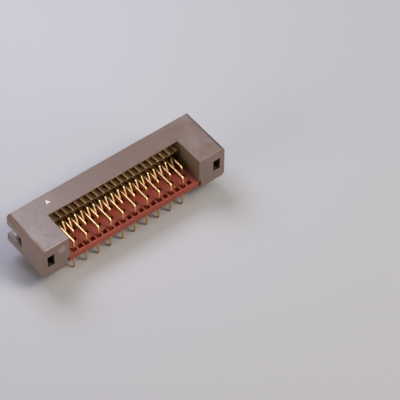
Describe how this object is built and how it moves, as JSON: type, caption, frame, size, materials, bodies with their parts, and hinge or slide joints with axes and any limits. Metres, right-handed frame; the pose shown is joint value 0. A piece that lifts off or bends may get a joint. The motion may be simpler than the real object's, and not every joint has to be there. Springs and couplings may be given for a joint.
{
  "type": "shrouded pcb header",
  "caption": "Right-angle board header with a shrouded mating cavity, latch slots in its end blocks, bent gold contacts and a locator plate for the tails.",
  "frame": {"origin": "middle of the tail pattern on the board's surface", "axes": "+X along the contact rows, +Y out of the mating face, +Z away from the board"},
  "size_m": [0.0382, 0.0102, 0.0098],
  "materials": {
    "housing_plastic": "glass-filled moulding, satin taupe",
    "locator_plastic": "moulded, red-brown",
    "contact_gold": "stamped copper alloy, gold plated"
  },
  "bodies": {
    "root": {"housing": "housing_plastic", "locator": "locator_plastic", "contact_a1": "contact_gold", "contact_a2": "contact_gold", "contact_a3": "contact_gold", "contact_a4": "contact_gold", "contact_a5": "contact_gold", "contact_a6": "contact_gold", "contact_a7": "contact_gold", "contact_a8": "contact_gold", "contact_a9": "contact_gold", "contact_a10": "contact_gold", "contact_a11": "contact_gold", "contact_a12": "contact_gold", "contact_a13": "contact_gold", "contact_a14": "contact_gold", "contact_a15": "contact_gold", "contact_a16": "contact_gold", "contact_a17": "contact_gold", "contact_a18": "contact_gold", "contact_a19": "contact_gold", "contact_a20": "contact_gold", "contact_b1": "contact_gold", "contact_b2": "contact_gold", "contact_b3": "contact_gold", "contact_b4": "contact_gold", "contact_b5": "contact_gold", "contact_b6": "contact_gold", "contact_b7": "contact_gold", "contact_b8": "contact_gold", "contact_b9": "contact_gold", "contact_b10": "contact_gold", "contact_b11": "contact_gold", "contact_b12": "contact_gold", "contact_b13": "contact_gold", "contact_b14": "contact_gold", "contact_b15": "contact_gold", "contact_b16": "contact_gold", "contact_b17": "contact_gold", "contact_b18": "contact_gold", "contact_b19": "contact_gold", "contact_b20": "contact_gold"}
  },
  "joints": []
}
